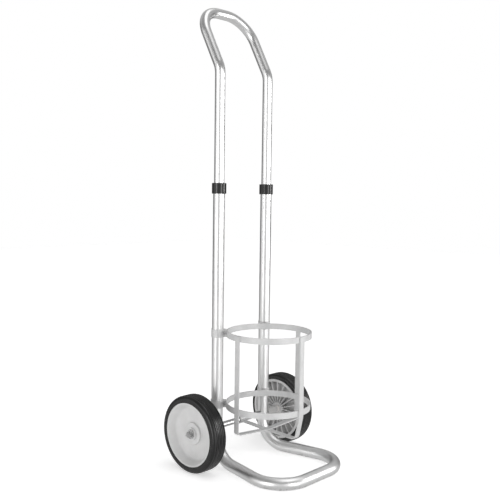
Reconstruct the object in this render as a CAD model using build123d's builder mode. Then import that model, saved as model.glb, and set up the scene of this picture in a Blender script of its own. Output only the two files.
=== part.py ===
from build123d import *
import math
import os

os.makedirs("parts", exist_ok=True)

# Two-wheeled upright cart: one bent tube makes both uprights and the foot, a U-shaped handle
# slides down inside the uprights, and a round basket of flat bar is clamped in front of them.
# Millimetres. +Z is up, -Y is the front (foot and basket), +Y is the side of the person pulling.
# The origin is on the ground, in the middle of the cart's outline.

# --- driving dimensions -----------------------------------------------------------------------
tube_r = 12.7  # outer tube, 1 inch
tube_wall = 1.24
handle_r = 11.11  # inner tube, 7/8 inch
handle_wall = 1.2
slide_gap = 0.3  # radial room for the sliding handle in its collars

upright_x = 75.0  # half the distance between the upright axes
upright_top = 611.0
foot_reach = 222.0  # from the uprights to the front bar
foot_half_width = 121.0  # the foot widens towards the front
heel_bend_r = 57.0  # upright to foot
toe_bend_r = 66.0  # foot side to front bar

handle_bottom = 398.0
handle_bend_z = 861.0
handle_bend_angle = 28.2  # degrees, the grip leans back
handle_bend_r = 48.0
grip_length = 153.4  # along the slope, from the bend to the top of the grip
grip_corner_r = 61.6
handle_travel = 220.0

collar_r = 15.6
collar_height = 23.0
collar_lip = 6.0  # part of the collar that stands above the upright
collar_round = 1.2

wheel_r = 82.55  # 6.5 inch wheel
tyre_inner_x = 123.0
tyre_outer_x = 161.0
rim_r = 68.0
axle_r = 6.35  # 1/2 inch rod
axle_end_x = 160.2
bush_gap = 0.05  # running clearance of the hub on the axle
fixed_gap = 0.1  # clearance of rods in plain holes
end_play = 0.4  # between turning and standing faces

bar_width = 13.0  # flat bar of the rings and straps
bar_thickness = 2.2
bar_bend_r = 8.0  # outside of a bend in the bar
bar_gentle_r = 60.0  # where the bar only turns a few degrees
ring_r = 92.65  # outside of both rings
ring_distance = 83.6  # from the upright axes forward to the ring axis
ring_lower_z = 128.5
ring_upper_z = 285.0
ring_seam = 1.0
ring_seam_angle = -95.0  # degrees, beside the front strap

strap_top_drop = 1.0  # the straps end just under the top edge of the upper ring
strap_turn = -2.75  # degrees, the side strap is not quite square to the cart
strap_floor_z = 79.6  # underside of the side strap in the middle, on top of the front strap
strap_floor_half = 15.0  # the middle of the side strap is flat, then it rises to both sides
strap_side_rise = 5.6
strap_front_lean_start = 3.0  # below the lower ring the front strap leans back
strap_front_lean = 11.4
strap_front_dip = 2.4  # its front corner lies lower than the crossing
strap_front_rise = 2.9  # its end at the axle lies higher than the crossing
strap_front_flat_start = 13.0  # in front of the ring axis
strap_front_flat_end = 17.0  # behind the ring axis
strap_front_lean_r = 40.0
strap_front_corner_r = 13.0
eye_opening_turn = -20.0  # degrees, the tip of the rolled eye stops short of the bar

clamp_height = 18.0
clamp_thickness = 1.2
clamp_slot = 1.0
screw_r = 1.5  # M3
screw_head_r = 2.75
screw_head_height = 2.0
screw_beyond_nut = 1.2
nut_across_flats = 5.5
nut_height = 2.4

lock_z = 423.0
lock_button_r = 3.5
lock_button_proud = 3.8
lock_hole_r = 3.7
lock_spring_width = 6.0
lock_spring_thickness = 0.8
lock_spring_gap = 0.6  # between the free leg and the bore
lock_spring_leg = 1.5  # the straight ends reach past the button's flange
lock_spring_arch = 38.0  # height of its bend above the button
lock_spring_arch_r = 2.5
lock_spring_curve_r = 12.0
button_seat_depth = 2.4  # from the bore of the handle tube to the button's flat back
button_flange = 1.0
button_flange_height = 0.9
button_round = 1.6

# --- derived places ---------------------------------------------------------------------------
grip_reach = grip_length * math.sin(math.radians(handle_bend_angle))
grip_rise = grip_length * math.cos(math.radians(handle_bend_angle))
back_reach = max(wheel_r, grip_reach + handle_r)  # from the uprights to the back of the outline
upright_y = (foot_reach + tube_r - back_reach) / 2
axle_z = wheel_r
ring_y = upright_y - ring_distance
foot_y = upright_y - foot_reach
sides = {"left": -1, "right": 1}
ring_levels = {"upper": ring_upper_z, "lower": ring_lower_z}
clamp_reach = math.hypot(upright_x, ring_distance)  # from the upright axis to the ring axis


def write(builder, node):
    """Label a finished piece and write it to its own STEP file."""
    builder.part.label = node
    export_step(builder.part, f"parts/{node}.step")


# --- frame tube and handle tube ---------------------------------------------------------------
with BuildPart() as frame_tube:
    with BuildLine() as frame_path:
        FilletPolyline(
            (-upright_x, upright_y, upright_top),
            (-upright_x, upright_y, tube_r),
            (-foot_half_width, foot_y, tube_r),
            (foot_half_width, foot_y, tube_r),
            (upright_x, upright_y, tube_r),
            (upright_x, upright_y, upright_top),
            radius=[heel_bend_r, toe_bend_r, toe_bend_r, heel_bend_r],
        )
    with BuildSketch(Plane(origin=frame_path.line @ 0, z_dir=frame_path.line % 0)):
        Circle(tube_r)
        Circle(tube_r - tube_wall, mode=Mode.SUBTRACT)
    sweep(path=frame_path.line)
    with Locations((0, upright_y, axle_z)):
        Cylinder(
            axle_r + fixed_gap,
            2 * (upright_x + 2 * tube_r),
            rotation=(0, 90, 0),
            mode=Mode.SUBTRACT,
        )
    # two lock holes in the back of the left upright: handle up, handle down
    with Locations(
        (-upright_x, upright_y + tube_r, lock_z),
        (-upright_x, upright_y + tube_r, lock_z - handle_travel),
    ):
        Cylinder(lock_hole_r, tube_r, rotation=(90, 0, 0), mode=Mode.SUBTRACT)
write(frame_tube, "frame_tube")

grip_y = upright_y + grip_reach
grip_z = handle_bend_z + grip_rise

with BuildPart() as handle_tube:
    with BuildLine() as handle_path:
        FilletPolyline(
            (-upright_x, upright_y, handle_bottom),
            (-upright_x, upright_y, handle_bend_z),
            (-upright_x, grip_y, grip_z),
            (upright_x, grip_y, grip_z),
            (upright_x, upright_y, handle_bend_z),
            (upright_x, upright_y, handle_bottom),
            radius=[handle_bend_r, grip_corner_r, grip_corner_r, handle_bend_r],
        )
    with BuildSketch(Plane(origin=handle_path.line @ 0, z_dir=handle_path.line % 0)):
        Circle(handle_r)
        Circle(handle_r - handle_wall, mode=Mode.SUBTRACT)
    sweep(path=handle_path.line)
    with Locations((-upright_x, upright_y + handle_r, lock_z)):
        Cylinder(lock_hole_r, handle_r, rotation=(90, 0, 0), mode=Mode.SUBTRACT)
write(handle_tube, "handle_tube")


# --- plastic guide collars on the upright tops ------------------------------------------------
def collar(side):
    base = upright_top + collar_lip - collar_height
    place = (side * upright_x, upright_y)
    with BuildPart() as piece:
        with BuildSketch(Plane.XY.offset(base)):
            with Locations(place):
                Circle(collar_r)
        extrude(amount=collar_height)
        fillet(piece.edges().filter_by(GeomType.CIRCLE), collar_round)
        with BuildSketch(Plane.XY.offset(base)):
            with Locations(place):
                Circle(tube_r)
        extrude(amount=collar_height - collar_lip, mode=Mode.SUBTRACT)
        with BuildSketch(Plane.XY.offset(base)):
            with Locations(place):
                Circle(handle_r + slide_gap)
        extrude(amount=collar_height, mode=Mode.SUBTRACT)
    return piece


for name, side in sides.items():
    write(collar(side), f"collar_{name}")

# --- handle lock: a button on a leaf spring inside the left leg -------------------------------
button_seat = handle_r - handle_wall - button_seat_depth
flange_r = lock_button_r + button_flange

with BuildPart() as lock_button:
    button_plane = Plane(
        origin=(-upright_x, upright_y + button_seat, lock_z), x_dir=(1, 0, 0), z_dir=(0, 1, 0)
    )
    with BuildSketch(button_plane):
        Circle(flange_r)
    extrude(amount=button_flange_height)
    with BuildSketch(button_plane):
        Circle(lock_button_r)
    extrude(amount=tube_r + lock_button_proud - button_seat)
    fillet(lock_button.faces().sort_by(Axis.Y)[-1].edges(), button_round)
write(lock_button, "lock_button")

spring_near_y = button_seat - lock_spring_thickness / 2
spring_far_y = -(handle_r - handle_wall - lock_spring_gap - lock_spring_thickness / 2)
spring_end_z = flange_r + lock_spring_leg

with BuildPart() as lock_spring:
    spring_origin = (-upright_x, upright_y, lock_z)
    with BuildSketch(Plane(origin=spring_origin, x_dir=(0, 1, 0), z_dir=(1, 0, 0))):
        with BuildLine() as spring_line:
            FilletPolyline(
                (spring_near_y, -spring_end_z),
                (spring_near_y, spring_end_z),
                (0, lock_spring_arch),
                (spring_far_y, 0),
                (spring_far_y, -spring_end_z),
                radius=[lock_spring_curve_r, lock_spring_arch_r, lock_spring_curve_r],
            )
        trace(line_width=lock_spring_thickness)
    extrude(amount=lock_spring_width / 2, both=True)
write(lock_spring, "lock_spring")


# --- basket: two rings of flat bar and two straps ---------------------------------------------
def ring(base):
    seam = math.radians(ring_seam_angle)
    middle_r = ring_r - bar_thickness / 2
    with BuildPart() as piece:
        with BuildSketch(Plane.XY.offset(base)):
            with Locations((0, ring_y)):
                Circle(ring_r)
                Circle(ring_r - bar_thickness, mode=Mode.SUBTRACT)
            with Locations((middle_r * math.cos(seam), ring_y + middle_r * math.sin(seam))):
                Rectangle(
                    2 * bar_thickness, ring_seam, rotation=ring_seam_angle, mode=Mode.SUBTRACT
                )
        extrude(amount=bar_width)
    return piece


for level, base in ring_levels.items():
    write(ring(base), f"ring_{level}")

# The straps stand outside both rings. Their lines run in the middle of the bar's thickness.
strap_r = ring_r + bar_thickness / 2
strap_top = ring_upper_z + bar_width - strap_top_drop
strap_bend_r = bar_bend_r - bar_thickness / 2
side_middle_z = strap_floor_z + bar_thickness / 2
side_corner_z = side_middle_z + strap_side_rise
turn = math.radians(strap_turn)
side_plane = Plane(
    origin=(0, ring_y, 0),
    x_dir=(math.cos(turn), math.sin(turn), 0),
    z_dir=(math.sin(turn), -math.cos(turn), 0),
)

with BuildPart() as strap_side:
    with BuildSketch(side_plane):
        with BuildLine():
            FilletPolyline(
                (-strap_r, strap_top),
                (-strap_r, side_corner_z),
                (-strap_floor_half, side_middle_z),
                (strap_floor_half, side_middle_z),
                (strap_r, side_corner_z),
                (strap_r, strap_top),
                radius=[strap_bend_r, bar_gentle_r, bar_gentle_r, strap_bend_r],
            )
        trace(line_width=bar_thickness)
    extrude(amount=bar_width / 2, both=True)
write(strap_side, "strap_side")

eye_r = axle_r + fixed_gap + bar_thickness
eye_middle_y = upright_y - axle_r - bar_thickness / 2
front_middle_z = strap_floor_z - bar_thickness / 2
front_end_z = front_middle_z + strap_front_rise

with BuildPart() as strap_front:
    with BuildSketch(Plane.YZ):
        with BuildLine():
            FilletPolyline(
                (ring_y - strap_r, strap_top),
                (ring_y - strap_r, ring_lower_z - strap_front_lean_start),
                (ring_y - strap_r + strap_front_lean, front_middle_z - strap_front_dip),
                (ring_y - strap_front_flat_start, front_middle_z),
                (ring_y + strap_front_flat_end, front_middle_z),
                (eye_middle_y, front_end_z),
                radius=[strap_front_lean_r, strap_front_corner_r, bar_gentle_r, bar_gentle_r],
            )
        trace(line_width=bar_thickness)
        # the back end is rolled round the axle, and its tip stops short of the bar
        with Locations((upright_y, axle_z)):
            Circle(eye_r)
            Circle(axle_r + fixed_gap, mode=Mode.SUBTRACT)
        with Locations((eye_middle_y, front_end_z + bar_thickness)):
            Rectangle(
                2 * bar_thickness, ring_seam, rotation=eye_opening_turn, mode=Mode.SUBTRACT
            )
    extrude(amount=bar_width / 2, both=True)
write(strap_front, "strap_front")


# --- clamps that hold the rings to the uprights -----------------------------------------------
def clamp_plane(side, base):
    """Origin on the upright axis, X towards the ring axis, Z up."""
    return Plane(
        origin=(side * upright_x, upright_y, base),
        x_dir=(-side * upright_x, -ring_distance, 0),
        z_dir=(0, 0, 1),
    )


# from the upright axis to the clamp screw, half way between clamp band and ring
tab_reach = clamp_reach - ring_r
screw_distance = (tube_r + clamp_thickness + tab_reach) / 2
tab_overlap = 2.0  # the tabs are drawn longer, then cut to the ring's curve


def clamp(side, base):
    plane = clamp_plane(side, base + (bar_width - clamp_height) / 2)
    with BuildPart() as piece:
        with BuildSketch(plane):
            Circle(tube_r + clamp_thickness)
            with Locations((tab_reach / 2, 0)):
                Rectangle(tab_reach + tab_overlap, clamp_slot + 2 * clamp_thickness)
            Circle(tube_r, mode=Mode.SUBTRACT)
            with Locations((tab_reach, 0)):
                Rectangle(2 * tab_reach, clamp_slot, mode=Mode.SUBTRACT)
            with Locations((clamp_reach, 0)):
                Circle(ring_r, mode=Mode.SUBTRACT)
        extrude(amount=clamp_height)
        with Locations(plane * Location((screw_distance, 0, clamp_height / 2), (90, 0, 0))):
            Cylinder(screw_r + fixed_gap, 4 * tube_r, mode=Mode.SUBTRACT)
    return piece


for level, base in ring_levels.items():
    for name, side in sides.items():
        write(clamp(side, base), f"clamp_{level}_{name}")

grip_half = clamp_slot / 2 + clamp_thickness  # from the middle of the slot to a tab's outside
shank_length = 2 * grip_half + nut_height + screw_beyond_nut

with BuildPart() as screw:
    with BuildSketch(Plane.XY):
        Circle(screw_head_r)
    extrude(amount=screw_head_height)
    fillet(screw.faces().sort_by(Axis.Z)[-1].edges(), screw_head_height / 2)
    with BuildSketch(Plane.XY):
        Circle(screw_r)
    extrude(amount=-shank_length)
    with BuildSketch(Plane.XY.offset(screw_head_height)):
        Rectangle(screw_head_r, screw_r / 2)
        Rectangle(screw_r / 2, screw_head_r)
    extrude(amount=-screw_head_height / 2, mode=Mode.SUBTRACT)

with BuildPart() as nut:
    with BuildSketch(Plane.XY):
        RegularPolygon(nut_across_flats / 2, 6, major_radius=False, rotation=30)
        Circle(screw_r + fixed_gap, mode=Mode.SUBTRACT)
    extrude(amount=-nut_height)


def fastener_places(offset):
    """Screw axes of the four clamps, with Z towards the front and outside of the cart."""
    places = []
    for base in ring_levels.values():
        for side in sides.values():
            head = Plane(
                origin=(side * upright_x, upright_y, base + bar_width / 2),
                x_dir=(-side * upright_x, -ring_distance, 0),
                z_dir=(side * ring_distance, -upright_x, 0),
            )
            places.append(head * Location((screw_distance, 0, offset)))
    return places


with BuildPart() as clamp_screws:
    with Locations(*fastener_places(grip_half)):
        add(screw.part)
write(clamp_screws, "clamp_screws")

with BuildPart() as clamp_nuts:
    with Locations(*fastener_places(-grip_half)):
        add(nut.part)
write(clamp_nuts, "clamp_nuts")

# --- axle, spacers, washers and split pins ----------------------------------------------------
wheel_axis = Axis((0, upright_y, axle_z), (1, 0, 0))
axle_chamfer = 0.8
hub_inner_x = 118.8  # ends of the hub's bushing
hub_outer_x = 151.0
hub_bush_r = 8.0
washer_r = 10.5
washer_thickness = 1.6
spacer_r = 8.5
pin_x = 155.6
pin_r = 1.5
pin_tilt = 44.0  # degrees forward from straight up
pin_inset = 1.5  # the shank reaches this far out of the axle on the leg side
pin_shank_length = 2 * axle_r + 2.5
pin_eye_r = 2.2  # middle of the wire
pin_eye_wire_r = 0.9
pin_eye_height = 3.0  # above the axle
pin_leg_wire_r = 0.75
pin_leg_length = 6.0
pin_leg_start = 0.8
pin_leg_bend = 128.0  # degrees from the shank


def axle_plane(side, out):
    """Plane square to the axle at a distance from the middle, facing outwards."""
    return Plane(origin=(side * out, upright_y, axle_z), x_dir=(0, 1, 0), z_dir=(side, 0, 0))


def pin_plane(side):
    """Origin on the axle, Z along the split pin."""
    tilt = math.radians(pin_tilt)
    return Plane(
        origin=(side * pin_x, upright_y, axle_z),
        x_dir=(1, 0, 0),
        z_dir=(0, -math.sin(tilt), math.cos(tilt)),
    )


with BuildPart() as axle:
    with BuildSketch(axle_plane(1, -axle_end_x)):
        Circle(axle_r)
    extrude(amount=2 * axle_end_x)
    chamfer(axle.edges().filter_by(GeomType.CIRCLE), axle_chamfer)
    with Locations(pin_plane(-1).location, pin_plane(1).location):
        Cylinder(pin_r + fixed_gap, 4 * axle_r, mode=Mode.SUBTRACT)
write(axle, "axle")


def sleeve(side, start, end, outer_r, inner_r):
    with BuildPart() as piece:
        with BuildSketch(axle_plane(side, start)):
            Circle(outer_r)
            Circle(inner_r, mode=Mode.SUBTRACT)
        extrude(amount=end - start)
    return piece


def split_pin(side):
    """Round shank through the axle, an eye at one end, two legs bent apart at the other."""
    plane = pin_plane(side)
    leg_end = -axle_r - pin_leg_start
    with BuildPart() as piece:
        with BuildSketch(plane.offset(-axle_r - pin_inset)):
            Circle(pin_r)
        extrude(amount=pin_shank_length)
        with Locations(plane * Location((0, 0, axle_r + pin_eye_height), (0, 90, 0))):
            Torus(pin_eye_r, pin_eye_wire_r)
        for way in (-1, 1):
            with Locations(plane * Location((0, 0, leg_end), (way * pin_leg_bend, 0, 0))):
                Cylinder(
                    pin_leg_wire_r,
                    pin_leg_length,
                    align=(Align.CENTER, Align.CENTER, Align.MIN),
                )
    return piece


for name, side in sides.items():
    spacer_start = upright_x + tube_r
    spacer = sleeve(side, spacer_start, hub_inner_x - end_play, spacer_r, axle_r + fixed_gap)
    write(spacer, f"spacer_{name}")
    bushing = sleeve(side, hub_inner_x, hub_outer_x, hub_bush_r, axle_r + bush_gap)
    write(bushing, f"hub_bushing_{name}")
    washer_start = hub_outer_x + end_play
    washer_end = washer_start + washer_thickness
    washer = sleeve(side, washer_start, washer_end, washer_r, axle_r + fixed_gap)
    write(washer, f"washer_{name}")
    write(split_pin(side), f"split_pin_{name}")

# --- wheels -----------------------------------------------------------------------------------
rim_wall = 3.0
rim_inset = 0.8  # the rim's outer lip stands back from the tyre's face
flange_ring_r = 70.5  # thin flange on the inner side, against the tyre's side
flange_ring_thickness = 1.2
web_outer_x = 142.5
web_thickness = 3.5
web_inner_x = web_outer_x - web_thickness
web_r = 57.0  # foot of the sloping wall of the dish
web_back_r = 60.0
dish_back_x = 150.5  # where the back of the dish's wall meets the rim
dish_round = 5.0
boss_r = 23.0
boss_height = 5.0
boss_round = 1.6
boss_x = web_outer_x + boss_height
nose_r = 13.5
hub_face_x = 125.0  # inner end of the moulded hub
hub_r = 14.0
hub_draft = 1.5
rib_count = 20
rib_thickness = 1.8
rib_setback = 1.5  # the ribs start a little inside the hub's end
rib_rim_setback = 3.5
rib_sink = 1.0  # the ribs run this far into the hub, the web and the rim
groove_count = 6
groove_width = 1.6
groove_depth = 1.6
shoulder_r = 8.0


def section_plane(side, turn=0.0):
    """Half-section of a wheel: X outwards along the axle, Y away from it."""
    angle = math.radians(turn)
    outward = Vector(side, 0, 0)
    away = Vector(0, math.sin(angle), math.cos(angle))
    return Plane(origin=(0, upright_y, axle_z), x_dir=outward, z_dir=outward.cross(away))


def wheel(side):
    lip_x = tyre_outer_x - rim_inset
    back_x = tyre_inner_x - flange_ring_thickness
    inner_r = rim_r - rim_wall
    with BuildPart() as piece:
        with BuildSketch(section_plane(side)) as section:
            with BuildLine():
                Polyline(
                    (lip_x, inner_r),
                    (lip_x, rim_r),
                    (tyre_inner_x, rim_r),
                    (tyre_inner_x, flange_ring_r),
                    (back_x, flange_ring_r),
                    (back_x, inner_r),
                    (dish_back_x, inner_r),
                    (web_inner_x, web_back_r),
                    (web_inner_x, hub_r + hub_draft),
                    (hub_face_x, hub_r),
                    (hub_face_x, hub_bush_r),
                    (hub_outer_x, hub_bush_r),
                    (hub_outer_x, nose_r),
                    (boss_x, nose_r),
                    (boss_x, boss_r),
                    (web_outer_x, boss_r),
                    (web_outer_x, web_r),
                    close=True,
                )
            make_face()
            dish_corner = section.vertices().sort_by_distance((web_outer_x, web_r))[0]
            fillet(dish_corner, dish_round)
            boss_edge = (web_outer_x + boss_height / 2, boss_r)
            fillet(section.vertices().sort_by_distance(boss_edge)[0:2], boss_round)
        revolve(axis=wheel_axis)
        for count in range(rib_count):
            with BuildSketch(section_plane(side, count * 360 / rib_count)):
                with BuildLine():
                    Polyline(
                        (hub_face_x + rib_setback, hub_r - rib_sink),
                        (web_inner_x + rib_sink, hub_r - rib_sink),
                        (web_inner_x + rib_sink, web_back_r),
                        (dish_back_x - rib_sink, inner_r + rib_sink),
                        (back_x + rib_rim_setback, inner_r + rib_sink),
                        close=True,
                    )
                make_face()
            extrude(amount=rib_thickness / 2, both=True)
    return piece


def tyre(side):
    middle = (tyre_inner_x + tyre_outer_x) / 2
    depth = wheel_r - rim_r
    pitch = (tyre_outer_x - tyre_inner_x - 2 * shoulder_r) / (groove_count - 1)
    with BuildPart() as piece:
        with BuildSketch(section_plane(side)) as section:
            with Locations((middle, rim_r + depth / 2)):
                Rectangle(tyre_outer_x - tyre_inner_x, depth)
            fillet(section.vertices().group_by(Axis.Y)[-1], shoulder_r)
            with Locations((middle, wheel_r)):
                with GridLocations(pitch, 0, groove_count, 1):
                    Rectangle(groove_width, 2 * groove_depth, mode=Mode.SUBTRACT)
        revolve(axis=wheel_axis)
    return piece


for name, side in sides.items():
    write(wheel(side), f"wheel_{name}")
    write(tyre(side), f"tyre_{name}")
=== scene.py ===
import math

import bmesh
import bpy
from mathutils import Matrix, Vector, noise


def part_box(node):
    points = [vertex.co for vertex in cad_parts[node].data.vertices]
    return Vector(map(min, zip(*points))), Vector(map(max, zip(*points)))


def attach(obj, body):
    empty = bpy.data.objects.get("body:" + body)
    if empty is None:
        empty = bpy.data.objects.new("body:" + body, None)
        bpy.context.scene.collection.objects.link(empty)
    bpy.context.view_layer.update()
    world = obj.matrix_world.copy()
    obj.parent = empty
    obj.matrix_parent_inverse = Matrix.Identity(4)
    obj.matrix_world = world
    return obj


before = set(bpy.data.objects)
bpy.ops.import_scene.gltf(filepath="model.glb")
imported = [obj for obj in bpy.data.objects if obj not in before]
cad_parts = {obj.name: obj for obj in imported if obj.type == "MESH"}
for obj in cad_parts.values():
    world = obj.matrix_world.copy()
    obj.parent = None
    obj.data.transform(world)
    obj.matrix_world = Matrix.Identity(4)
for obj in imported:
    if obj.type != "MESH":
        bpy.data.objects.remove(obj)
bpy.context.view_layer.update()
scene = bpy.context.scene

# --- places read from the CAD frame, in metres ------------------------------------------------
WHEEL_LOW, WHEEL_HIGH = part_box("wheel_left")
TYRE_LOW, TYRE_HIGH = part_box("tyre_left")
AXLE_Y = (TYRE_LOW.y + TYRE_HIGH.y) / 2
AXLE_Z = (TYRE_LOW.z + TYRE_HIGH.z) / 2
TYRE_R = (TYRE_HIGH.z - TYRE_LOW.z) / 2
RIM_R = (WHEEL_HIGH.z - WHEEL_LOW.z) / 2
FOOT_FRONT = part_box("frame_tube")[0].y
RING_LOW, RING_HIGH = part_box("ring_upper")
RING_X = (RING_LOW.x + RING_HIGH.x) / 2
RING_Y = (RING_LOW.y + RING_HIGH.y) / 2
RING_R = (RING_HIGH.x - RING_LOW.x) / 2
STRAP_LOW, STRAP_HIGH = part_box("strap_front")
STRAP_HALF = (STRAP_HIGH.x - STRAP_LOW.x) / 2
STRAP_CROSS_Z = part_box("strap_side")[0].z

WHITE = (1.0, 1.0, 1.0, 1.0)

# --- camera, fitted to the wheels, tubes and rings in the photograph --------------------------
CAMERA_TURN = math.radians(-46.4734)
CAMERA_PITCH = math.radians(4.2628)
CAMERA_ROLL = math.radians(0.7533)
CAMERA_PLACE = (-1.18378, -1.07163, 0.59219)
SENSOR_WIDTH = 36.0  # millimetres, as the lens
LENS = 53.149
FAR_CLIP = 50.0


def add_camera():
    """Place the camera and return the direction from the object back to it."""
    back = Vector((
        math.sin(CAMERA_TURN) * math.cos(CAMERA_PITCH),
        -math.cos(CAMERA_TURN) * math.cos(CAMERA_PITCH),
        math.sin(CAMERA_PITCH),
    ))
    level = Vector((math.cos(CAMERA_TURN), math.sin(CAMERA_TURN), 0.0))
    upright = back.cross(level)
    right = math.cos(CAMERA_ROLL) * level + math.sin(CAMERA_ROLL) * upright
    up = math.cos(CAMERA_ROLL) * upright - math.sin(CAMERA_ROLL) * level
    data = bpy.data.cameras.new("camera")
    data.sensor_width = SENSOR_WIDTH
    data.lens = LENS
    data.clip_end = FAR_CLIP
    camera = bpy.data.objects.new("camera", data)
    scene.collection.objects.link(camera)
    axes = Matrix((right, up, back)).transposed().to_4x4()
    camera.matrix_world = Matrix.Translation(CAMERA_PLACE) @ axes
    scene.camera = camera
    return back


BACK = add_camera()


# --- node helpers -----------------------------------------------------------------------------
class Tree:
    """Short calls for building a node tree. A value is a constant or another node's output."""

    def __init__(self, tree):
        self.tree = tree
        self.tree.nodes.clear()

    def node(self, kind, inputs=None, **settings):
        made = self.tree.nodes.new(kind)
        for key, value in settings.items():
            setattr(made, key, value)
        for key, value in (inputs or {}).items():
            if isinstance(value, bpy.types.NodeSocket):
                self.tree.links.new(value, made.inputs[key])
            else:
                made.inputs[key].default_value = value
        return made

    def math(self, operation, a, b):
        return self.node("ShaderNodeMath", {0: a, 1: b}, operation=operation).outputs[0]

    def add(self, a, b):
        return self.math("ADD", a, b)

    def times(self, a, b):
        return self.math("MULTIPLY", a, b)

    def vector(self, operation, a, b=(0.0, 0.0, 0.0)):
        made = self.node("ShaderNodeVectorMath", {0: a, 1: b}, operation=operation)
        return made.outputs["Value" if operation in ("LENGTH", "DOT_PRODUCT") else "Vector"]

    def scaled(self, coords, scales):
        return self.vector("MULTIPLY", coords, scales)

    def split(self, coords):
        return self.node("ShaderNodeSeparateXYZ", {0: coords}).outputs

    def joined(self, x, y=0.0):
        return self.node("ShaderNodeCombineXYZ", {0: x, 1: y, 2: 0.0}).outputs[0]

    def noise(self, coords, scale, detail=3.0, rough=0.5, distort=0.0):
        made = self.node("ShaderNodeTexNoise", {
            "Vector": coords, "Scale": scale, "Detail": detail, "Roughness": rough,
            "Distortion": distort,
        })
        return made.outputs["Fac"]

    def cells(self, coords, scale, output):
        made = self.node("ShaderNodeTexVoronoi", {"Vector": coords, "Scale": scale})
        return made.outputs[output]

    def ramp(self, value, low, high, to_low=0.0, to_high=1.0, shape="LINEAR"):
        """Map low..high to to_low..to_high, held at both ends."""
        made = self.node("ShaderNodeMapRange", {
            "Value": value, "From Min": low, "From Max": high, "To Min": to_low,
            "To Max": to_high,
        }, interpolation_type=shape)
        return made.outputs["Result"]

    def fade(self, value, low, high, to_low=0.0, to_high=1.0):
        """The same with soft ends."""
        return self.ramp(value, low, high, to_low, to_high, "SMOOTHSTEP")

    def spread(self, value, to_low=0.0, to_high=1.0):
        """Map the usual range of a noise value to to_low..to_high."""
        return self.ramp(value, 0.3, 0.7, to_low, to_high)

    def blend(self, factor, a, b):
        return self.node("ShaderNodeMix", {0: factor, 2: a, 3: b}, data_type="FLOAT").outputs[0]

    def mix(self, factor, a, b):
        return self.node("ShaderNodeMix", {0: factor, 6: a, 7: b}, data_type="RGBA").outputs[2]

    def bump(self, height, distance, strength, normal=None):
        inputs = {"Height": height, "Distance": distance, "Strength": strength}
        if normal is not None:
            inputs["Normal"] = normal
        return self.node("ShaderNodeBump", inputs).outputs["Normal"]

    def surface(self, **inputs):
        shader = self.node("ShaderNodeBsdfPrincipled", inputs)
        self.end(shader, "ShaderNodeOutputMaterial")

    def end(self, shader, kind):
        self.tree.links.new(shader.outputs[0], self.node(kind).inputs["Surface"])


def grey(value, warmth=0.0):
    return (value * (1 + warmth), value, value * (1 - warmth), 1.0)


def new_material(name):
    material = bpy.data.materials.new(name)
    material.use_nodes = True
    tree = Tree(material.node_tree)
    coords = tree.node("ShaderNodeTexCoord").outputs["Object"]
    return material, tree, coords


# --- materials --------------------------------------------------------------------------------
DRAWN_LINES = 1900.0  # noise scale across the drawn lines of a tube
ALONG_LINE = 0.012  # and the share of it along them
FOOT_TOP, HEEL_TOP = 0.03, 0.055  # heights between which the foot's lines give way to the uprights'
BAR_BACK, BEND_BACK = 0.03, 0.065  # the same behind the foot's front edge, from front bar to sides
DULL_FULL, DULL_END = 0.22, 0.42  # heights between which the duller finish low on the frame fades out
SCUFF_FULL, SCUFF_END = 0.002, 0.012  # the same for the scuffs


def aluminium():
    """Drawn tube, satin anodised: fine lines along each run, soft blotches, scuffs by the floor."""
    material, t, coords = new_material("aluminium")
    y, z = t.split(coords)[1:3]
    up_lines = t.noise(t.scaled(coords, (1.0, 1.0, ALONG_LINE)), DRAWN_LINES, 2.0)
    side_lines = t.noise(t.scaled(coords, (1.0, ALONG_LINE, 1.0)), DRAWN_LINES, 2.0)
    front_lines = t.noise(t.scaled(coords, (ALONG_LINE, 1.0, 1.0)), DRAWN_LINES, 2.0)
    in_foot = t.ramp(z, FOOT_TOP, HEEL_TOP, 1.0, 0.0)
    in_front = t.ramp(y, FOOT_FRONT + BAR_BACK, FOOT_FRONT + BEND_BACK, 1.0, 0.0)
    lines = t.mix(in_foot, up_lines, t.mix(in_front, side_lines, front_lines))
    blotch = t.noise(coords, 26.0, 4.0, 0.55)
    fine = t.noise(coords, 420.0, 3.0, 0.6)
    scuffs = t.noise(t.scaled(coords, (1.0, 0.35, 1.0)), 150.0, 5.0, 0.72, 0.6)
    worn = t.times(t.ramp(z, SCUFF_FULL, SCUFF_END, 1.0, 0.0), t.ramp(scuffs, 0.5, 0.62))
    base = t.mix(t.spread(blotch), grey(0.86, 0.004), grey(0.91))
    base = t.mix(t.ramp(lines, 0.25, 0.75, 0.0, 0.2), base, grey(0.74))
    base = t.mix(t.times(worn, 0.7), base, grey(0.42, 0.02))
    rough = t.add(t.spread(blotch, 0.25, 0.30), t.spread(lines, -0.02, 0.05))
    rough = t.add(rough, t.ramp(z, DULL_FULL, DULL_END, 0.09, 0.0))
    rough = t.add(rough, t.times(worn, 0.25))
    normal = t.bump(lines, 0.00002, 0.2)
    normal = t.bump(fine, 0.000012, 0.3, normal)
    normal = t.bump(scuffs, 0.0001, t.times(worn, 0.6), normal)
    t.surface(**{"Base Color": base, "Metallic": 1.0, "Roughness": rough, "Normal": normal})
    return material


RUB_START, RUB_FULL = 0.0036, 0.0052  # distances inwards from the outside of the rings


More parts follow.
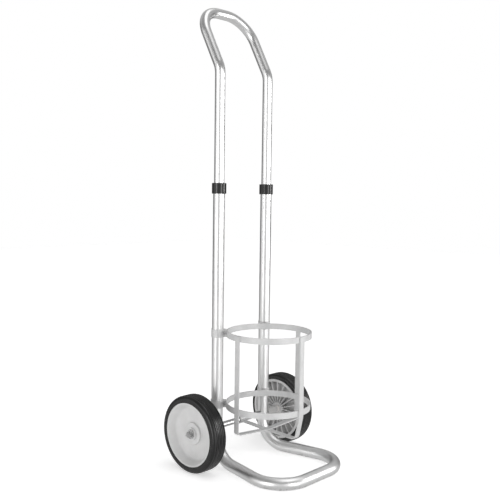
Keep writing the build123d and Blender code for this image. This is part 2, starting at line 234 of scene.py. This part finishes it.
def basket_paint():
    """Silver-grey powder coat on flat bar: orange peel, metal flake, rubbed where a bag stands."""
    material, t, coords = new_material("basket_paint")
    peel = t.noise(coords, 900.0, 2.0, 0.5)
    flake = t.split(t.cells(coords, 1500.0, "Color"))[0]
    blotch = t.noise(coords, 60.0, 4.0, 0.6)
    from_axis = t.scaled(t.vector("SUBTRACT", coords, (0.0, RING_Y, 0.0)), (1.0, 1.0, 0.0))
    inside = t.ramp(t.vector("LENGTH", from_axis), RING_R - RUB_FULL, RING_R - RUB_START, 1.0, 0.0)
    rub = t.noise(t.scaled(coords, (1.0, 1.0, 0.25)), 240.0, 5.0, 0.7, 0.4)
    rubbed = t.times(inside, t.ramp(rub, 0.52, 0.66))
    base = t.mix(t.spread(blotch), grey(0.56), grey(0.63))
    base = t.mix(t.ramp(flake, 0.55, 1.0, 0.0, 0.4), base, grey(0.72))
    base = t.mix(t.times(rubbed, 0.45), base, grey(0.4))
    rough = t.add(t.spread(blotch, 0.42, 0.52), t.times(rubbed, -0.12))
    normal = t.bump(peel, 0.00006, 0.5)
    t.surface(**{"Base Color": base, "Metallic": 0.25, "Roughness": rough, "Normal": normal})
    return material


def about_wheel(t, coords):
    """Distance from the axle's line, and the coordinates measured from that line."""
    local = t.vector("SUBTRACT", coords, (0.0, AXLE_Y, AXLE_Z))
    return t.vector("LENGTH", t.scaled(local, (0.0, 1.0, 1.0))), local


DUST_START, DUST_FULL = 0.006, 0.0005  # distances inwards from the outside of the rim


def wheel_plastic():
    """Light grey moulded plastic: faint flow marks from the hub, fine grain, dust in the corners."""
    material, t, coords = new_material("wheel_plastic")
    radius, local = about_wheel(t, coords)
    grain = t.noise(coords, 1400.0, 2.0, 0.6)
    cloud = t.noise(coords, 34.0, 4.0, 0.6)
    y, z = t.split(local)[1:3]
    turn = t.math("ARCTAN2", y, z)
    flow = t.noise(t.joined(t.times(turn, 3.2), t.times(radius, 22.0)), 1.0, 3.0, 0.55)
    dust = t.times(t.ramp(radius, RIM_R - DUST_START, RIM_R - DUST_FULL), t.ramp(cloud, 0.4, 0.7, 0.0, 0.3))
    base = t.mix(t.spread(cloud), grey(0.58, 0.004), grey(0.65, 0.002))
    base = t.mix(t.ramp(flow, 0.45, 0.75, 0.0, 0.25), base, grey(0.56, 0.006))
    base = t.mix(dust, base, grey(0.5, 0.02))
    rough = t.spread(cloud, 0.38, 0.48)
    normal = t.bump(grain, 0.00002, 0.5)
    normal = t.bump(flow, 0.00015, 0.25, normal)
    t.surface(**{"Base Color": base, "Roughness": rough, "Normal": normal, "IOR": 1.48})
    return material


# depths below the tread: the tread's own surface, the grooves, and the shoulders near the tread
TREAD_START, TREAD_FULL = 0.0011, 0.0006
GROOVE_START, GROOVE_FULL = 0.0014, 0.0022
GROOVE_FLOOR, GROOVE_END = 0.003, 0.004
SHOULDER_START, SHOULDER_FULL = 0.006, 0.002


def tyre_rubber():
    """Black rubber: grain, circular tool lines on the walls, mould lines round the tread, dull grooves
    darkened with painted shade.
    """
    material, t, coords = new_material("tyre_rubber")
    radius, local = about_wheel(t, coords)
    grain = t.noise(coords, 1100.0, 3.0, 0.65)
    cloud = t.noise(coords, 48.0, 5.0, 0.65)
    lathe = t.noise(t.joined(radius), 2600.0, 2.0)
    round_lines = t.noise(t.scaled(local, (1.0, 0.0, 0.0)), 560.0, 2.0)
    tread = t.ramp(radius, TYRE_R - TREAD_START, TYRE_R - TREAD_FULL)
    near_tread = t.ramp(radius, TYRE_R - SHOULDER_START, TYRE_R - SHOULDER_FULL)
    groove = t.times(
        t.ramp(radius, TYRE_R - GROOVE_FULL, TYRE_R - GROOVE_START, 1.0, 0.0),
        t.ramp(radius, TYRE_R - GROOVE_END, TYRE_R - GROOVE_FLOOR),
    )
    base = t.mix(t.spread(cloud), grey(0.006), grey(0.013, 0.01))
    # painted shade: the grooves get a darker black than the rest of the rubber
    base = t.mix(t.times(groove, t.ramp(cloud, 0.35, 0.65, 0.7, 1.0)), base, grey(0.003, 0.05))
    base = t.mix(t.times(tread, t.ramp(grain, 0.4, 0.7, 0.1, 0.5)), base, grey(0.03, 0.02))
    rough = t.add(t.spread(cloud, 0.20, 0.29), t.times(groove, 0.35))
    rough = t.add(rough, t.times(near_tread, t.ramp(round_lines, 0.42, 0.58, -0.05, 0.16)))
    normal = t.bump(grain, 0.00005, 0.5)
    normal = t.bump(lathe, 0.00004, 0.4, normal)
    normal = t.bump(round_lines, 0.0006, t.times(near_tread, 0.8), normal)
    t.surface(**{"Base Color": base, "Roughness": rough, "Normal": normal, "IOR": 1.5})
    return material


def moulded(name, dark, light, rough_low, rough_high, warmth=0.0):
    """Moulded plastic with a fine grain, slow colour drift and light scratches."""
    material, t, coords = new_material(name)
    grain = t.noise(coords, 1600.0, 2.0, 0.6)
    cloud = t.noise(coords, 90.0, 4.0, 0.6)
    scratches = t.noise(t.scaled(coords, (1.0, 1.0, 0.06)), 1300.0, 3.0, 0.6)
    base = t.mix(t.spread(cloud), grey(dark, warmth), grey(light, warmth))
    base = t.mix(t.ramp(scratches, 0.6, 0.75, 0.0, 0.25), base, grey(light * 1.6, warmth))
    rough = t.add(t.spread(cloud, rough_low, rough_high), t.ramp(scratches, 0.6, 0.75, 0.0, 0.08))
    normal = t.bump(grain, 0.00002, 0.5)
    t.surface(**{"Base Color": base, "Roughness": rough, "Normal": normal, "IOR": 1.5})
    return material


def metal(name, dark, light, rough_low, rough_high, turned=0.0):
    """Plated or bare steel: mottled finish, and turning lines about x as strong as turned says."""
    material, t, coords = new_material(name)
    mottle = t.noise(coords, 320.0, 5.0, 0.65)
    spangle = t.cells(coords, 900.0, "Distance")
    lines = t.noise(t.scaled(coords, (1.0, 0.05, 0.05)), 2400.0, 2.0)
    base = t.mix(t.spread(mottle), grey(dark), grey(light))
    base = t.mix(t.ramp(spangle, 0.2, 0.7, 0.0, 0.2), base, grey(light * 1.12))
    rough = t.add(t.spread(mottle, rough_low, rough_high), t.spread(lines, 0.0, 0.05))
    normal = t.bump(mottle, 0.00002, 0.5)
    normal = t.bump(lines, 0.00002, turned, normal)
    t.surface(**{"Base Color": base, "Metallic": 1.0, "Roughness": rough, "Normal": normal})
    return material


MATERIALS = {
    "tube_aluminium": aluminium(),
    "basket_paint": basket_paint(),
    "wheel_plastic": wheel_plastic(),
    "tyre_rubber": tyre_rubber(),
    "collar_plastic": moulded("collar_plastic", 0.008, 0.014, 0.12, 0.18),
    "spacer_plastic": moulded("spacer_plastic", 0.50, 0.58, 0.38, 0.48, 0.01),
    "bush_nylon": moulded("bush_nylon", 0.68, 0.76, 0.34, 0.44, 0.03),
    "fastener_zinc": metal("fastener_zinc", 0.56, 0.70, 0.2, 0.3),
    "spring_steel": metal("spring_steel", 0.40, 0.50, 0.26, 0.36, turned=0.3),
    "axle_steel": metal("axle_steel", 0.42, 0.54, 0.24, 0.34, turned=0.5),
}

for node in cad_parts.values():
    for index, old in enumerate(node.data.materials):
        node.data.materials[index] = MATERIALS[old.name.split(".")[0]]


# --- weld beads where the straps meet the rings and each other --------------------------------
BEAD_R = 0.0012
BEAD_LOOPS = 30
BEAD_SIDES = 12
BEAD_TIP = 0.02  # share of the length where the taper stops, so that an end has some width
TAPER_POWER = 0.35
RIPPLE, RIPPLE_RATE = 0.16, 5200.0  # height as a share of the bead's radius, and radians per metre
LUMP, LUMP_SCALE = 0.18, 900.0  # height as a share of the bead's radius, and scale of its noise
SEED_STEP = 7.3
STRAP_TURN = math.radians(-2.75)
SMOOTH_LEVELS = 1

# beads at a ring: distances from its outside, its lower and upper edge, and the strap's edge
OUT_FROM_RING = 0.0004
ABOVE_RING_BOTTOM = 0.0008
BELOW_RING_TOP = 0.0012
ASIDE_AT_RING = 0.0003
# beads where the straps cross: from the strap's edge, from the plane where they meet, half length
ASIDE_AT_CROSS = 0.0002
UNDER_CROSS, OVER_CROSS = -0.0006, 0.0004
CROSS_HALF = 0.0055


def add_bead(form, start, end, seed):
    """A rippled fillet of weld metal from start to end, thin at both ends."""
    start, end = Vector(start), Vector(end)
    length = (end - start).length
    along = (end - start).normalized()
    across = along.orthogonal().normalized()
    other = along.cross(across)
    loops = []
    for step in range(BEAD_LOOPS):
        part = step / (BEAD_LOOPS - 1)
        taper = math.sin(math.pi * min(max(part, BEAD_TIP), 1 - BEAD_TIP)) ** TAPER_POWER
        ripple = 1.0 + RIPPLE * math.sin(part * length * RIPPLE_RATE)
        middle = start.lerp(end, part)
        loop = []
        for turn in range(BEAD_SIDES):
            angle = 2 * math.pi * turn / BEAD_SIDES
            way = math.cos(angle) * across + math.sin(angle) * other
            place = (middle + way * BEAD_R) * LUMP_SCALE + Vector((seed, 0, 0))
            lump = 1.0 + LUMP * noise.noise(place)
            loop.append(form.verts.new(middle + way * BEAD_R * taper * ripple * lump))
        loops.append(loop)
    for near, far in zip(loops, loops[1:]):
        for turn in range(BEAD_SIDES):
            after = (turn + 1) % BEAD_SIDES
            form.faces.new((near[turn], near[after], far[after], far[turn]))
    form.faces.new(loops[0][::-1])
    form.faces.new(loops[-1])


def add_piece(name, form, body, slot):
    """Turn a bmesh into a smooth piece that rides on a body and shares a slot's material."""
    mesh = bpy.data.meshes.new(name)
    bmesh.ops.recalc_face_normals(form, faces=form.faces[:])
    for face in form.faces:
        face.smooth = True
    form.to_mesh(mesh)
    form.free()
    piece = bpy.data.objects.new(name, mesh)
    scene.collection.objects.link(piece)
    smooth = piece.modifiers.new("smooth", "SUBSURF")
    smooth.levels = SMOOTH_LEVELS
    smooth.render_levels = SMOOTH_LEVELS
    mesh.materials.append(MATERIALS[slot])
    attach(piece, body)


def bead_lines():
    """The start and end of each bead: both edges of a strap at each ring, then round the crossing."""
    legs = (
        (math.cos(STRAP_TURN), math.sin(STRAP_TURN)),
        (-math.cos(STRAP_TURN), -math.sin(STRAP_TURN)),
        (0.0, -1.0),
    )
    reach = RING_R + OUT_FROM_RING
    for ring in ("ring_upper", "ring_lower"):
        low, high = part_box(ring)
        bottom, top = low.z + ABOVE_RING_BOTTOM, high.z - BELOW_RING_TOP
        for out_x, out_y in legs:
            for aside in (-STRAP_HALF - ASIDE_AT_RING, STRAP_HALF + ASIDE_AT_RING):
                x = RING_X + out_x * reach - out_y * aside
                y = RING_Y + out_y * reach + out_x * aside
                yield (x, y, bottom), (x, y, top)
    edges = (-STRAP_HALF - ASIDE_AT_CROSS, STRAP_HALF + ASIDE_AT_CROSS)
    z = STRAP_CROSS_Z + UNDER_CROSS
    for x in edges:
        yield (x, RING_Y - CROSS_HALF, z), (x, RING_Y + CROSS_HALF, z)
    z = STRAP_CROSS_Z + OVER_CROSS
    for aside in edges:
        yield (-CROSS_HALF, RING_Y + aside, z), (CROSS_HALF, RING_Y + aside, z)


def add_welds():
    form = bmesh.new()
    seed = 0.0
    for start, end in bead_lines():
        seed += SEED_STEP
        add_bead(form, start, end, seed)
    add_piece("basket_welds", form, "frame", "basket_paint")


add_welds()


# --- light and floor --------------------------------------------------------------------------
# strength of the studio that lights the cart and that it reflects; the camera sees an even white
REAR_WALL, SIDE_WALL = 0.2, 1.0
STRIPS = 3.8  # added beside the camera, left and right
BEHIND_CAMERA = 0.4  # taken off straight behind the camera
UPPER_REAR, UPPER_FRONT = 0.45, 0.22  # above the lit part of the walls
OVERHEAD_LEFT, OVERHEAD_RIGHT = 0.30, 1.6
BELOW = 0.58

# where one strength gives way to the next, as the start and end of a fade along toward ...
REAR_TO_SIDE = (-0.25, 0.15)
STRIP_IN, STRIP_OUT = (0.62, 0.74), (0.80, 0.90)
SIDE_TO_BEHIND = (0.94, 0.985)
UPPER_REAR_TO_FRONT = (-0.6, 0.4)
# ... along rightward, and along height
LEFT_TO_RIGHT = (-0.20, 0.20)
BELOW_TO_WALL, WALL_TO_UPPER, UPPER_TO_OVERHEAD = (-0.30, -0.10), (0.30, 0.46), (0.78, 0.92)

FLOOR_HALF = 6.0
FLOOR_CELLS = 8
FLOOR_GLOW = 0.5  # lifts the floor to the white of the backdrop


def add_world():
    """A studio for the reflections: lit walls with a bright strip on each side of the camera, a darker
    rear, a dark upper part, and a ceiling that is bright at one side. height is the upward part of a
    ray, toward says how far its level part points to the camera's place, and rightward how far the
    ray points to the right as seen from there.
    """
    world = bpy.data.worlds.new("studio")
    world.use_nodes = True
    scene.world = world
    t = Tree(world.node_tree)
    ray = t.node("ShaderNodeTexCoord").outputs["Generated"]
    height = t.split(ray)[2]
    flat = Vector((BACK.x, BACK.y, 0.0)).normalized()
    level_ray = t.vector("NORMALIZE", t.scaled(ray, (1.0, 1.0, 0.0)))
    toward = t.vector("DOT_PRODUCT", level_ray, tuple(flat))
    rightward = t.vector("DOT_PRODUCT", ray, (-flat.y, flat.x, 0.0))

    strips = t.times(t.fade(toward, *STRIP_IN), t.fade(toward, *STRIP_OUT, 1.0, 0.0))
    behind_camera = t.fade(toward, *SIDE_TO_BEHIND, 0.0, BEHIND_CAMERA)
    wall = t.math("SUBTRACT", t.fade(toward, *REAR_TO_SIDE, REAR_WALL, SIDE_WALL), behind_camera)
    wall = t.add(wall, t.times(strips, STRIPS))
    upper_wall = t.fade(toward, *UPPER_REAR_TO_FRONT, UPPER_REAR, UPPER_FRONT)
    overhead = t.fade(rightward, *LEFT_TO_RIGHT, OVERHEAD_LEFT, OVERHEAD_RIGHT)
    level = t.blend(t.fade(height, *WALL_TO_UPPER), wall, upper_wall)
    level = t.blend(t.fade(height, *UPPER_TO_OVERHEAD), level, overhead)
    level = t.blend(t.fade(height, *BELOW_TO_WALL, 1.0, 0.0), level, BELOW)

    studio = t.node("ShaderNodeBackground", {"Color": WHITE, "Strength": level})
    backdrop = t.node("ShaderNodeBackground", {"Color": WHITE, "Strength": 1.0})
    seen = t.node("ShaderNodeLightPath").outputs["Is Camera Ray"]
    both = t.node("ShaderNodeMixShader", {0: seen, 1: studio.outputs[0], 2: backdrop.outputs[0]})
    t.end(both, "ShaderNodeOutputWorld")


def add_softbox(name, place, aim, width, height, power, mirrored):
    """A rectangular lamp aimed at a point. Only a mirrored one shows in reflections."""
    data = bpy.data.lights.new(name, "AREA")
    data.shape = "RECTANGLE"
    data.size = width
    data.size_y = height
    data.energy = power
    lamp = bpy.data.objects.new(name, data)
    lamp.visible_glossy = mirrored
    scene.collection.objects.link(lamp)
    lamp.location = place
    lamp.rotation_euler = (Vector(aim) - Vector(place)).to_track_quat("-Z", "Y").to_euler()


def add_floor():
    """A white paper floor that isn't seen in reflections."""
    mesh = bpy.data.meshes.new("floor")
    form = bmesh.new()
    bmesh.ops.create_grid(form, x_segments=FLOOR_CELLS, y_segments=FLOOR_CELLS, size=FLOOR_HALF)
    form.to_mesh(mesh)
    form.free()
    floor = bpy.data.objects.new("floor", mesh)
    scene.collection.objects.link(floor)
    floor.visible_glossy = False
    material, t, coords = new_material("floor_paper")
    shade = t.spread(t.noise(coords, 3.0, 3.0), 0.90, 0.92)
    colour = t.node("ShaderNodeCombineColor", {0: shade, 1: shade, 2: shade}).outputs[0]
    t.surface(**{
        "Base Color": colour, "Roughness": 0.9, "Emission Color": WHITE,
        "Emission Strength": FLOOR_GLOW,
    })
    mesh.materials.append(material)


add_world()
add_floor()
add_softbox(
    "key", place=(-2.2, -0.3, 2.0), aim=(0.0, 0.0, 0.4), width=1.4, height=1.4, power=8.0, mirrored=False,
)
add_softbox(
    "side", place=(1.3, -1.35, 0.65), aim=(-0.14, 0.0, 0.12), width=0.25, height=1.1, power=11.0,
    mirrored=True,
)
scene.view_settings.view_transform = "Standard"
